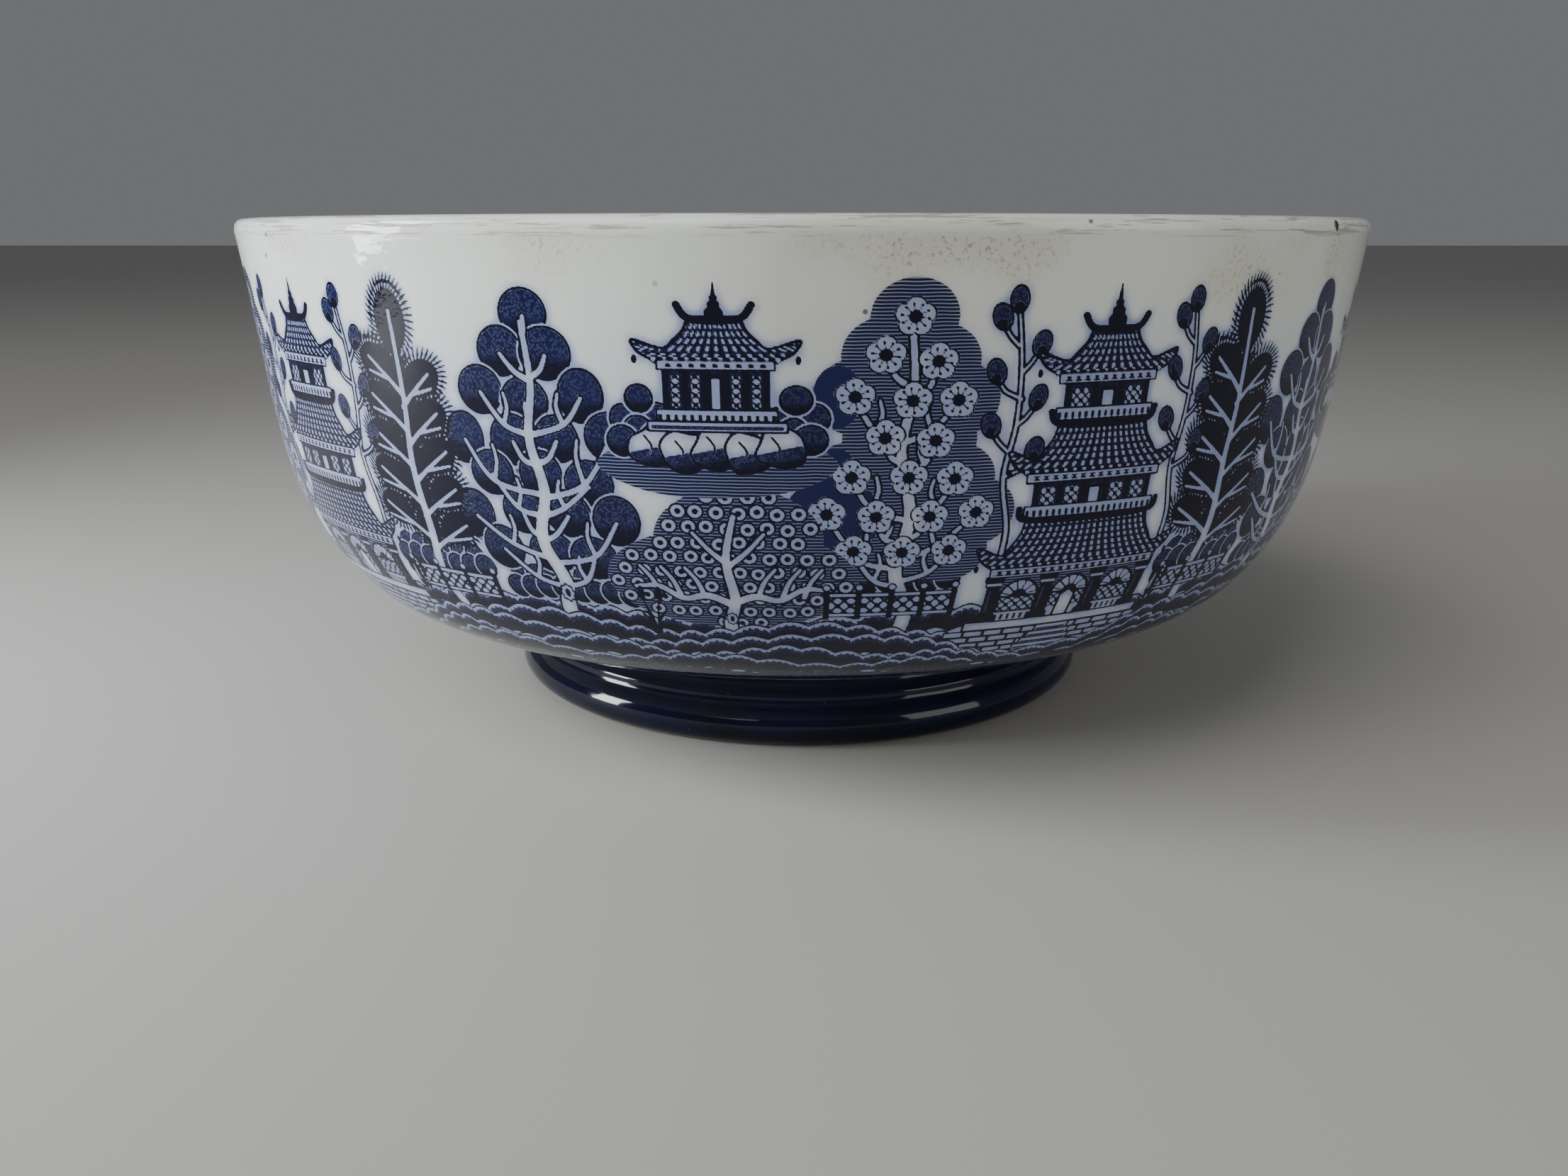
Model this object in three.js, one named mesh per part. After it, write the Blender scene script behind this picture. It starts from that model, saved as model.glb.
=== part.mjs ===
// A footed earthenware punch bowl, about ten inches across the rim.
// Millimetres, +Z up, the resting face of the foot at z = 0 and the bowl's axis on Z.
//
// Three pieces, as a potter makes them:
//   bowl_body    the jiggered and turned bowl, with a rolled lip
//   foot_ring    the moulded foot, turned as a ring of its own and glazed cobalt
//   luting_slip  the thin seam of clay slip that sticks the ring to the bowl,

import * as THREE from 'three';

// ---- driving dimensions -------------------------------------------------------------------

const RIM_RADIUS = 127;            // widest radius, on the outside of the lip
const BOWL_HEIGHT = 108.6;         // table to the crest of the lip
const LIP_OUTER_Z = 106;           // height of the widest radius
const CREST_RADIUS = 124.5;        // radius of the highest line of the lip
const WALL = 5.6;                  // thickness of the wall
const LIP_INNER_RADIUS = 121.4;    // radius where the lip turns down into the bowl
const FLOOR_THICKNESS = 6.4;       // thickness of the bowl's floor on the axis

const SHOULDER = { r: 108.75, z: 33.5 };     // where the shallow underside turns up into the wall
const SEAM_OUTER = { r: 66.3, z: 17.87 };    // outer edge of the seam between bowl and foot
const SEAM_INNER = { r: 59.4, z: 16.55 };    // inner edge of the same seam
const UNDERSIDE_Z = 12.6;                    // underside of the bowl on the axis

const SLIP_THICKNESS = 0.45;       // clay slip between the bowl and the ring

const FOOT_ROLL = { r: 66.4, z: 4.5, radius: 4.5 };   // the round moulding at the bottom of the foot
const FOOT_REST_OUTER = 67.4;      // outer edge of the flat, unglazed resting face
const FOOT_REST_INNER = 63.2;      // inner edge of the resting face
const FOOT_INNER_RADIUS = 60.6;    // inside of the ring just above the resting face

const SEGMENTS = 72;               // facets round the axis, a multiple of four

// ---- outlines, as (radius, height) points -------------------------------------------------

const point = (r, z) => new THREE.Vector2(r, z);

// Points along a cubic curve from start to end, pulled towards two handles.
function curve(start, handleA, handleB, end, steps) {
  return new THREE.CubicBezierCurve(start, handleA, handleB, end).getPoints(steps);
}

// The outside of the bowl, from the foot seam up to the widest part of the lip.
function outerWall() {
  const seam = point(SEAM_OUTER.r, SEAM_OUTER.z);
  const shoulder = point(SHOULDER.r, SHOULDER.z);
  const lip = point(RIM_RADIUS, LIP_OUTER_Z);
  const lower = curve(seam, point(79.8, 20.45), point(99.64, 22.6), shoulder, 7);
  const upper = curve(shoulder, point(123.75, 51.4), point(121.8, 67.3), lip, 8);
  return lower.concat(upper.slice(1));
}

// The inside of the bowl: the outer wall moved inwards by the wall's thickness.
function innerWall() {
  const outside = outerWall();
  const inside = [];
  for (let i = 1; i < outside.length - 1; i += 1) {
    const along = outside[i + 1].clone().sub(outside[i - 1]).normalize();
    inside.push(point(outside[i].x - along.y * WALL, outside[i].y + along.x * WALL));
  }
  return inside.filter((p) => p.y < LIP_OUTER_Z - 6).reverse();
}

// The rolled lip, from its outer edge over the crest to its inner edge.
function lip() {
  return [
    point(126.75, 107.3),
    point(125.9, 108.2),
    point(CREST_RADIUS, BOWL_HEIGHT),
    point(123.0, 108.3),
    point(121.9, 107.3),
    point(LIP_INNER_RADIUS, LIP_OUTER_Z - 0.6),
  ];
}

// The underside of the bowl, from the axis out to the inner edge of the seam.
function underside() {
  const centre = point(0, UNDERSIDE_Z);
  const seam = point(SEAM_INNER.r, SEAM_INNER.z);
  return curve(centre, point(22, UNDERSIDE_Z), point(44, 13.6), seam, 4);
}

function bodyOutline() {
  const floorZ = UNDERSIDE_Z + FLOOR_THICKNESS;
  const floor = [point(52, floorZ + 2.3), point(28, floorZ + 0.5), point(0, floorZ)];
  return [...underside(), ...outerWall(), ...lip(), ...innerWall(), ...floor];
}

// The foot: a cove under the bowl, an arris, a slanting band, the round roll and the flat rest.
function footOutline() {
  const outline = [point(65.6, 15.4), point(65.7, 13.2), point(66.9, 11.3), point(67.5, 9.6)];
  const top = Math.PI * 0.32;
  const bottom = -Math.PI * 0.4;
  const steps = 7;
  for (let i = 0; i <= steps; i += 1) {
    const angle = top + ((bottom - top) * i) / steps;
    const r = FOOT_ROLL.r + FOOT_ROLL.radius * Math.cos(angle);
    const z = FOOT_ROLL.z + FOOT_ROLL.radius * Math.sin(angle);
    outline.push(point(r, z));
  }
  outline.push(point(FOOT_REST_OUTER, 0));
  outline.push(point(FOOT_REST_INNER, 0));
  outline.push(point(FOOT_INNER_RADIUS + 0.8, 1.0));
  outline.push(point(FOOT_INNER_RADIUS, 3.2));
  outline.push(point(SEAM_INNER.r, SEAM_INNER.z - SLIP_THICKNESS));
  outline.push(point(SEAM_OUTER.r, SEAM_OUTER.z - SLIP_THICKNESS));
  outline.push(outline[0].clone());
  outline.reverse();
  return outline;
}

// The seam lies flat against the bowl above and the ring below.
function slipOutline() {
  const inner = point(SEAM_INNER.r, SEAM_INNER.z);
  const outer = point(SEAM_OUTER.r, SEAM_OUTER.z);
  const outerBelow = point(SEAM_OUTER.r, SEAM_OUTER.z - SLIP_THICKNESS);
  const innerBelow = point(SEAM_INNER.r, SEAM_INNER.z - SLIP_THICKNESS);
  return [inner, innerBelow, outerBelow, outer, inner.clone()];
}

// ---- solids -------------------------------------------------------------------------------

// Spins an outline round Z. The outline is given anticlockwise with radius to the right.
function spin(outline) {
  const geometry = new THREE.LatheGeometry(outline, SEGMENTS);
  geometry.rotateX(Math.PI / 2);
  return geometry;
}

function piece(name, outline, finish) {
  const mesh = new THREE.Mesh(spin(outline), new THREE.MeshStandardMaterial(finish));
  mesh.name = name;
  return mesh;
}

function buildBowl() {
  const bowl = new THREE.Group();
  bowl.name = 'punch_bowl';
  bowl.add(piece('bowl_body', bodyOutline(), { color: 0xbfc5cc, roughness: 0.16, metalness: 0 }));
  bowl.add(piece('foot_ring', footOutline(), { color: 0x0a1029, roughness: 0.12, metalness: 0 }));
  bowl.add(piece('luting_slip', slipOutline(), { color: 0x1a2138, roughness: 0.35, metalness: 0 }));
  return bowl;
}

export default buildBowl();
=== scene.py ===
# A footed punch bowl of printed earthenware, in metres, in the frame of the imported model.
#
# The print is drawn as on an engraver's copper plate: one repeat of a picture, in millimetres
# on a flat sheet, with x along the rim and y down from the lip. Five repeats are wrapped round
# the bowl, and each point of the wall carries how much ink it has.
import math

import bmesh
import bpy
import numpy as np
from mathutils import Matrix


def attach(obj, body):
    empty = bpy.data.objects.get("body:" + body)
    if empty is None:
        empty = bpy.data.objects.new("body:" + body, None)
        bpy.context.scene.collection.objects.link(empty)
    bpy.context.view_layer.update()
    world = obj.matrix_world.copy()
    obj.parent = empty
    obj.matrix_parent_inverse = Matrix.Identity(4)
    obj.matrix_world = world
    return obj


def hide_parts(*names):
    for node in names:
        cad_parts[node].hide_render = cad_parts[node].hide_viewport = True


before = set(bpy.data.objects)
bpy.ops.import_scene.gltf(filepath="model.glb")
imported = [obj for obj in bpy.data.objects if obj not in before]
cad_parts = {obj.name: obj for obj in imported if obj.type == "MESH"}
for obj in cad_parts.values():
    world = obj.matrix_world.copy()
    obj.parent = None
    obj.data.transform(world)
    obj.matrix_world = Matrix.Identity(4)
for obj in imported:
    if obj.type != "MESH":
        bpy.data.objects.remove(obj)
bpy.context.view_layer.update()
MM = 0.001

# ---- sizes, repeated from the CAD model, in millimetres ----

SEAM_OUTER = (66.3, 17.87)
SEAM_INNER = (59.4, 16.55)
SHOULDER = (108.75, 33.5)
LIP_EDGE = (127.0, 106.0)
WALL = 5.6
FLOOR_Z = 19.0              # the inside of the bowl at the axis
UNDER_Z = 12.6              # and its underside

# ---- the printed band ----

BAND_TOP = 4.0              # distance of the band's upper edge below the lip, along the wall
BAND_BOTTOM = 92.0          # and of its lower edge
REPEAT = 144.0              # width of one repeat on the sheet, a fifth of the way round
SHEET_PER_DEGREE = 2.0      # sheet millimetres for one degree round the bowl
PAGODA_ANGLE = 24.0         # where a tall pagoda stands, in degrees to the right of the front
PAGODA_X = 72.0             # where it stands on the sheet
GROUND = 72.0               # where the trunks meet the ground, below the lip
TERRACE_TOP = 70.0
TERRACE_HALF = 22.0
PLATE_PX = 16.0             # samples of the plate in a millimetre
INK_WIDTH = 0.24            # the plate is averaged over this width for the ink on the wall,
BLEED_WIDTHS = (2.2, 3.9)   # and over these for the blue that has run into the glaze
STEP = 0.26                 # spacing of the wall's points, in millimetres
COLUMNS = 2880              # points round the bowl
PANELS = 10
PLAIN_COLUMNS = 480         # points round the pieces without a print
BEAD_COLUMNS = 360

# Inks: near-black, flat cobalt, ruled lines, stipple.
BARE = (0.0, 0.0, 0.0, 0.0)
NAVY = (1.0, 0.0, 0.0, 0.0)
BLUE = (0.0, 1.0, 0.0, 0.0)
LEAFY = (0.0, 1.0, 0.0, 1.0)
RULED = (0.0, 0.0, 1.0, 0.0)
DEEP = (0.55, 1.0, 0.0, 1.0)

LINE = 0.34                 # the engraver's usual outline, in millimetres

plate_rows = int((BAND_BOTTOM - BAND_TOP) * PLATE_PX)
plate_cols = int(REPEAT * PLATE_PX)
plate = np.zeros((plate_rows, plate_cols, 4), np.float32)


class Window:
    """A rectangle of the plate, with the sheet position of each of its samples."""

    def __init__(self, x0, y0, x1, y1):
        c0 = math.floor(x0 * PLATE_PX) - 1
        c1 = math.ceil(x1 * PLATE_PX) + 2
        r0 = max(0, math.floor((y0 - BAND_TOP) * PLATE_PX) - 1)
        r1 = min(plate_rows, math.ceil((y1 - BAND_TOP) * PLATE_PX) + 2)
        self.empty = r1 <= r0 or c1 <= c0
        self.x = (np.arange(c0, c1) + 0.5) / PLATE_PX
        self.y = (np.arange(r0, r1) + 0.5) / PLATE_PX + BAND_TOP
        self.rows = np.arange(r0, r1)
        self.cols = np.arange(c0, c1) % plate_cols
        self.X = self.x[None, :]
        self.Y = self.y[:, None]

    def put(self, mask, ink):
        """Lays ink where the mask holds, in place of what is there."""
        if self.empty:
            return
        where = np.nonzero(np.broadcast_to(mask, (len(self.y), len(self.x))))
        plate[self.rows[where[0]], self.cols[where[1]]] = ink

    def darken(self, mask, amount):
        """Adds near-black inside the mask, where the amount is above what is there."""
        if self.empty:
            return
        amount = np.where(mask, np.clip(amount, 0, 1), 0).astype(np.float32)
        grid = np.ix_(self.rows, self.cols)
        block = plate[grid]
        block[..., 0] = np.maximum(block[..., 0], amount)
        plate[grid] = block


def smooth(points, closed=False, steps=6):
    """A flowing line through the points."""
    p = np.array(points, float)
    if len(p) < 3:
        return p
    before, after = (p[-1:], p[:2]) if closed else (p[:1], p[-1:])
    q = np.vstack([before, p, after])
    out = []
    for a, b, c, d in zip(q, q[1:], q[2:], q[3:]):
        for k in range(steps):
            t = k / steps
            bend = (2 * a - 5 * b + 4 * c - d) * t * t + (3 * b - a - 3 * c + d) * t**3
            out.append(0.5 * (2 * b + (c - a) * t + bend))
    if not closed:
        out.append(p[-1])
    return np.array(out)


def inside(points, window):
    """Which samples of the window lie inside the outline."""
    p = np.asarray(points, float)
    q = np.roll(p, -1, axis=0)
    mask = np.zeros((len(window.y), len(window.x)), bool)
    for row, y in enumerate(window.y):
        crosses = (p[:, 1] > y) != (q[:, 1] > y)
        if not crosses.any():
            continue
        a = p[crosses]
        b = q[crosses]
        xs = np.sort(a[:, 0] + (y - a[:, 1]) * (b[:, 0] - a[:, 0]) / (b[:, 1] - a[:, 1]))
        mask[row] = np.searchsorted(xs, window.x) % 2 == 1
    return mask


def around(points, margin=0.0):
    """The window that holds the points."""
    p = np.asarray(points, float)
    low = p.min(axis=0) - margin
    high = p.max(axis=0) + margin
    return Window(low[0], low[1], high[0], high[1])


def window_at(x, y, rx, ry):
    """The window round a centre."""
    return Window(x - rx, y - ry, x + rx, y + ry)


def stroke(points, width, ink=NAVY, end_width=None):
    """A line with round ends, that may taper."""
    p = np.asarray(points, float)
    count = len(p) - 1
    last = width if end_width is None else end_width
    for i in range(count):
        a = p[i]
        b = p[i + 1]
        half_a = (width + (last - width) * i / count) / 2
        half_b = (width + (last - width) * (i + 1) / count) / 2
        big = max(half_a, half_b)
        window = around([a, b], big)
        along = b - a
        length2 = max(float(along @ along), 1e-9)
        t = ((window.X - a[0]) * along[0] + (window.Y - a[1]) * along[1]) / length2
        t = np.clip(t, 0, 1)
        near = np.hypot(window.X - a[0] - t * along[0], window.Y - a[1] - t * along[1])
        window.put(near < half_a + (half_b - half_a) * t, ink)


def curve(points, width, ink=NAVY, end_width=None):
    """A flowing stroke."""
    stroke(smooth(points), width, ink, end_width)


def loop(points, width):
    """A stroke round a closed outline."""
    stroke(np.vstack([points, points[:1]]), width)


def shape(points, ink, line=LINE, rounded=False):
    """A filled outline, with an engraved line round it."""
    p = smooth(points, closed=True) if rounded else np.asarray(points, float)
    window = around(p)
    window.put(inside(p, window), ink)
    if line:
        loop(p, line)


def box(x0, y0, x1, y1, ink, line=0.0):
    """A filled rectangle."""
    shape([(x0, y0), (x1, y0), (x1, y1), (x0, y1)], ink, line)


def oval(x, y, rx, ry, ink, line=0.0, tilt=0.0):
    """A filled oval; line is the width of its outline, inside its edge."""
    big = max(rx, ry)
    window = window_at(x, y, big, big)
    c = math.cos(math.radians(tilt))
    s = math.sin(math.radians(tilt))
    u = ((window.X - x) * c + (window.Y - y) * s) / rx
    v = ((window.Y - y) * c - (window.X - x) * s) / ry
    d = np.hypot(u, v)
    if line:
        window.put(d < 1, NAVY)
        window.put(d < 1 - line / min(rx, ry), ink)
    else:
        window.put(d < 1, ink)


def branches(limbs, outline=0.42):
    """Pale limbs with a dark edge: every dark edge first, so that the limbs run together."""
    lines = [(smooth(points), w0, w1) for points, w0, w1 in limbs]
    for points, w0, w1 in lines:
        stroke(points, w0 + 2 * outline, NAVY, w1 + 2 * outline)
    for points, w0, w1 in lines:
        stroke(points, w0, BARE, w1)


# ---- the picture ----
# The picture on the bowl is its maker's own drawing, so it isn't copied. This is a plain
# landscape with the same kinds of stock motif, each drawn by a rule to a design of its own. The
# pagodas stand in about the photo's places. All sizes are millimetres on the sheet.


def beside(x, points, side=1):
    """Points given as (distance from x, y), to its right, or to its left where side is -1."""
    return [(x + side * away, y) for away, y in points]


def mirrored(x, points):
    """A closed outline from the points of its right side."""
    return beside(x, points) + beside(x, points[::-1], -1)


def part_of(value):
    """The fractional part, for patterns that repeat."""
    return value - np.floor(value)


def lattice(x0, x1, y0, y1, pitch):
    """Crossed laths with a knot at each crossing."""
    box(x0, y0, x1, y1, BARE)
    window = Window(x0, y0, x1, y1)
    held = (window.X > x0) & (window.X < x1) & (window.Y > y0) & (window.Y < y1)
    u = (window.X - (x0 + x1) / 2) / pitch
    v = (window.Y - (y0 + y1) / 2) / pitch
    for across in (u + v, u - v):
        window.put(held & (np.abs(across - np.round(across)) < 0.12), NAVY)
    crossing = np.hypot(u - np.round(u), v - np.round(v))
    window.put(held & (crossing < 0.24), NAVY)


def finial(x, y, size):
    """Three balls and a spike."""
    stroke([(x, y), (x, y + 2.4 * size)], 0.3 * size, NAVY, 0.8 * size)
    for drop, radius in ((2.8, 0.75), (4.1, 1.15), (5.7, 1.7)):
        oval(x, y + drop * size, radius * size, 0.8 * radius * size, NAVY)


def roof(x, top, bottom, half_top, half_bottom):
    """A hollow roof with upturned eaves, its tiles in ribs that fan out from the ridge."""
    height = bottom - top
    spread = half_bottom - half_top
    slope = [(half_top + spread * t**1.9, top + height * t) for t in (0.0, 0.3, 0.55, 0.75)]
    tip = [(half_bottom + 1.5, bottom - 0.45 * height), (half_bottom + 0.9, bottom - 0.18 * height),
           (half_bottom - 0.8, bottom)]
    outline = np.array(mirrored(x, smooth(slope + tip)))
    window = around(outline)
    within = inside(outline, window)
    fall = np.clip((window.Y - top) / height, 0, 1)
    ribs = round(half_bottom / 1.75)
    rib = part_of((window.X - x) / (half_top + spread * fall**1.9) * ribs)
    course = part_of(window.Y / 1.15)
    window.put(within, DEEP)
    window.put(within & (rib > 0.48) & (rib < 0.68), NAVY)
    window.put(within & (rib < 0.38) & (course < 0.70), BARE)
    loop(outline, 0.42)
    for i in range(-ribs, ribs):
        oval(x + (i + 0.5) * (half_bottom - 0.8) / ribs, bottom + 0.1, 0.62, 0.62, BARE, 0.24)
    horn = half_top + 1.5
    ridge = [(-horn, -1.9), (-half_top, 0.1), (0, 0.5), (half_top, 0.1), (horn, -1.9)]
    curve([(x + a, top + b) for a, b in ridge], 1.15)
    for side in (-1, 1):
        oval(x + side * (half_bottom + 1.3), bottom + 0.2, 0.42, 0.7, NAVY)


def frieze(x, half, top, bottom):
    """A pale beam with a row of lozenges."""
    middle = (top + bottom) / 2
    box(x - half, top, x + half, bottom, BARE, 0.3)
    box(x - half + 0.4, top + 0.45, x + half - 0.4, bottom - 0.4, NAVY)
    count = int(2 * half / 1.6)
    for i in range(count):
        c = x - half + 2 * half * (i + 0.5) / count
        shape([(c - 0.7, middle), (c, middle - 0.42), (c + 0.7, middle), (c, middle + 0.42)], BARE, 0)


def balustrade(x, half, top, bottom):
    """A pale rail on little posts."""
    box(x - half, top, x + half, bottom, BARE, 0.32)
    count = int(2 * half / 1.15)
    for i in range(count):
        c = x - half + 2 * half * (i + 0.5) / count
        box(c - 0.27, top + 0.75, c + 0.27, bottom - 0.3, NAVY)


def storey(x, top, bottom, half, bays):
    """A storey with posts, a latticed window in each bay and a door in the middle one."""
    pitch = 2 * half / bays
    box(x - half, top, x + half, bottom, DEEP, 0.3)
    for i in range(bays):
        left = x - half + pitch * i
        lattice(left + 0.9, left + pitch - 0.9, top + 1.0, bottom - 1.2, 1.5)
    box(x - 0.32 * pitch, top + 0.9, x + 0.32 * pitch, bottom, NAVY)
    box(x - 0.20 * pitch, top + 1.5, x + 0.20 * pitch, bottom, BARE)
    for i in range(bays + 1):
        post = x - half + pitch * i
        box(post - 0.5, top, post + 0.5, bottom, NAVY)
    balustrade(x, half + 1.6, bottom - 2.1, bottom)


def column(x, top, bottom):
    """A black column with a pale collar and a gleam down its side."""
    side = [(1.7, top), (1.7, top + 1.0), (1.15, top + 1.7), (1.2, bottom - 2.0), (2.1, bottom - 1.1),
            (2.1, bottom)]
    shape(mirrored(x, side), NAVY, 0.2)
    box(x - 1.5, top + 1.3, x + 1.5, top + 2.0, BARE, 0.2)
    stroke([(x - 0.5, top + 3.0), (x - 0.5, bottom - 2.6)], 0.26, LEAFY)


def arcade(x, top, bottom, half, bays):
    """The ground floor: arches with a fan of ribs over latticed screens, between columns."""
    pitch = 2 * half / bays
    box(x - half, top, x + half, bottom, RULED, 0.3)
    for i in range(bays):
        c = x - half + pitch * (i + 0.5)
        radius = pitch / 2 - 1.4
        spring = top + radius + 0.9
        turns = np.radians(np.linspace(0, 180, 15))
        arch = [(c + radius * math.cos(a), spring - radius * math.sin(a)) for a in turns]
        shape([(c + radius, bottom)] + arch + [(c - radius, bottom)], BARE, 0.5)
        for a in np.radians(np.arange(15, 180, 30)):
            reach = 0.92 * radius
            stroke([(c, spring), (c + reach * math.cos(a), spring - reach * math.sin(a))], 0.26)
        window = Window(c - radius, spring - radius, c + radius, spring)
        hub = (np.hypot(window.X - c, window.Y - spring) < 0.42 * radius) & (window.Y < spring)
        window.put(hub, NAVY)
        lattice(c - radius + 0.2, c + radius - 0.2, spring + 0.3, bottom - 2.4, 1.8)
        stroke([(c - radius, spring), (c + radius, spring)], 0.42)
    door = [(0, bottom - 6.4), (1.5, bottom - 5.2), (1.5, bottom)]
    shape(beside(x, door[:0:-1], -1) + beside(x, door), BARE, 0.5)
    for i in range(bays):
        c = x - half + pitch * (i + 0.5)
        if i != bays // 2:
            balustrade(c, pitch / 2 - 1.2, bottom - 2.4, bottom)
    for i in range(bays + 1):
        column(x - half + pitch * i, top, bottom)


def terrace(x, half, top):
    """A brick wall with a straight flight of steps."""
    rows = 4
    box(x - half, top, x + half, top + 1.75 * rows + 0.3, NAVY)
    count = int(2 * half / 3.9)
    for row in range(rows):
        y = top + 0.35 + 1.75 * row
        for i in range(count):
            left = x - half + 0.3 + 3.9 * i + (1.4 if row % 2 else 0.0)
            box(left, y, min(left + 3.3, x + half - 0.3), y + 1.15, BARE)
    for step in range(4):
        wide = 3.6 + 0.9 * step
        y = top + 0.1 + 1.8 * step
        box(x - wide, y, x + wide, y + 1.9, BARE, 0.4)
        box(x - wide + 0.4, y + 1.05, x + wide - 0.4, y + 1.6, LEAFY)


def tall_pagoda(x):
    """Three roofs over an arcade, on a brick terrace."""
    terrace(x, TERRACE_HALF, TERRACE_TOP)
    box(x - 18.6, 67.8, x + 18.6, TERRACE_TOP, BARE, 0.4)
    arcade(x, 57.4, 67.8, 15.0, 3)
    storey(x, 40.2, 46.4, 10.6, 5)
    storey(x, 23.6, 29.8, 7.2, 3)
    roof(x, 46.6, 55.4, 11.6, 17.6)
    frieze(x, 16.2, 55.8, 57.6)
    roof(x, 30.2, 38.2, 8.0, 14.2)
    frieze(x, 12.4, 38.6, 40.3)
    roof(x, 14.8, 21.8, 4.0, 10.8)
    frieze(x, 8.8, 22.1, 23.7)
    finial(x, 8.2, 1.0)


def pavilion(x):
    """A small house on rocks, with ruled water round it."""
    water = [(-19, 36.6), (-10, 31.4), (0, 30.2), (10, 31.4), (18, 36.2), (9, 41.0), (-9, 41.4)]
    shape(beside(x, water), RULED, 0, rounded=True)
    for side in (-1, 1):
        shrub(x + side * 11.6, 28.4, 30 + side)
    for i in range(5):
        rock(x - 9.6 + 4.8 * i, 33.4 + 0.8 * (i % 2), 3.9, 3.6, 40 + i)
    storey(x, 20.8, 29.4, 7.4, 5)
    box(x - 10.4, 29.2, x + 10.4, 30.8, BARE, 0.36)
    box(x - 9.8, 29.8, x + 9.8, 30.5, LEAFY)
    roof(x, 12.8, 19.2, 3.8, 10.6)
    frieze(x, 8.6, 19.5, 21.0)
    finial(x, 7.6, 0.8)


def shrub(x, y, seed):
    """A few round leaves close together."""
    rng = np.random.default_rng(seed)
    for across, up in ((-2.6, 0.6), (2.6, 0.2), (0.0, -2.8), (-0.4, 2.4), (2.2, 3.6), (-2.9, 4.2)):
        round_leaf(x + across, y + up, rng.uniform(2.2, 2.7), rng.uniform(2.4, 2.9))


def hedge(x0, x1, y, seed):
    """Two rows of round leaves, clipped level."""
    rng = np.random.default_rng(seed)
    count = round((x1 - x0) / 3.3)
    for row in (0, 1):
        for i in range(count + row):
            x = x0 + (x1 - x0) * (i + 0.5 - 0.5 * row) / count
            round_leaf(x, y + 2.6 * row + rng.uniform(-0.5, 0.3), 2.3, 2.6)


def sprig(x, top, base, seed):
    """A wavy stem with buds on both sides of its upper part."""
    rng = np.random.default_rng(seed)
    stem = [(x + 0.9 * math.sin(0.24 * (base - y)), y) for y in np.linspace(base, top + 3.2, 6)]
    limbs = [(stem, 0.7, 0.3)]
    buds = [(stem[-1][0], top + 2.4, 0)]
    for i in range(6):
        y = top + 6.2 + 4.3 * i
        side = 1 if i % 2 else -1
        reach = 2.9 + 0.12 * i
        sx = x + 0.9 * math.sin(0.24 * (base - y - 3.2))
        twig = [(sx, y + 3.4), (x + 0.6 * reach * side, y + 2.0), (x + reach * side, y)]
        limbs.append((twig, 0.45, 0.25))
        buds.append((x + (reach + 0.3) * side, y - 1.1, 16 * side))
    branches(limbs, 0.4)
    for bx, by, tilt in buds:
        oval(bx, by, 1.5 + rng.uniform(0, 0.2), 2.3, LEAFY, 0.36, tilt)
        oval(bx, by + 1.1, 0.8, 0.8, NAVY, 0, tilt)


def rock(x, y, half_width, half_height, seed):
    """A lumpy stone, stippled into shadow at its foot."""
    rng = np.random.default_rng(seed)
    turns = np.radians(np.arange(0, 360, 40))
    lumps = rng.uniform(0.82, 1.12, len(turns))
    points = [(x + half_width * k * math.cos(a), y - half_height * k * math.sin(a))
              for a, k in zip(turns, lumps)]
    line = smooth(points, closed=True)
    window = around(line)
    within = inside(line, window)
    depth = (window.Y - y) / half_height + 0.25 * (window.X - x) / half_width
    window.put(within, BARE)
    window.put(within & (depth > 0.05), LEAFY)
    window.darken(within, (depth - 0.35) / 0.5)
    loop(line, 0.42)
    curve([(x - 0.4 * half_width, y - 0.5 * half_height), (x - 0.1 * half_width, y),
           (x - 0.3 * half_width, y + 0.5 * half_height)], 0.34)


def crown_places(x, top, counts, pitch, seed, jitter):
    """Places for leaves or blossoms in rows, as (x, y)."""
    rng = np.random.default_rng(seed)
    places = []
    for row, count in enumerate(counts):
        for i in range(count):
            across = (i - (count - 1) / 2) * pitch[0] + rng.uniform(-jitter, jitter)
            places.append((x + across, top + row * pitch[1] + rng.uniform(-jitter, jitter)))
    return places


def limbs_to(places, trunk, width, seed):
    """A forked limb from the trunk up to each place, joining lower the further out it grows."""
    rng = np.random.default_rng(seed)
    line = smooth(trunk)[::-1]
    limbs = []
    for px, py in places:
        middle = np.interp(py, line[:, 1], line[:, 0])
        out = px - middle
        join = min(py + 3.0 + rng.uniform(0.30, 0.62) * abs(out), trunk[0][1] - 6)
        tx = np.interp(join, line[:, 1], line[:, 0])
        drop = join - py
        bend = (tx + rng.uniform(0.48, 0.66) * (px - tx), join - rng.uniform(0.16, 0.34) * drop)
        limbs.append(([(tx, join), bend, (px, py + 0.4)], width, 0.55 * width))
        if abs(out) > 5:
            side = math.copysign(1, out)
            fork = (bend[0] - 0.9 * side, bend[1] - 0.40 * drop)
            tip = (bend[0] - 0.5 * side, bend[1] - 0.62 * drop - 0.8)
            limbs.append(([bend, fork, tip], 0.75 * width, 0.4 * width))
    return limbs


def round_leaf(x, y, rx, ry):
    """A stippled leaf, black in its lower part, with a pale gap round it."""
    oval(x, y, rx + 0.32, ry + 0.32, BARE)
    oval(x, y, rx, ry, LEAFY, 0.42)
    window = window_at(x, y, rx, ry)
    within = np.hypot((window.X - x) / rx, (window.Y - y) / ry)
    window.darken(within < 1, ((window.Y - y) / ry + 0.10) / 0.75)


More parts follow.
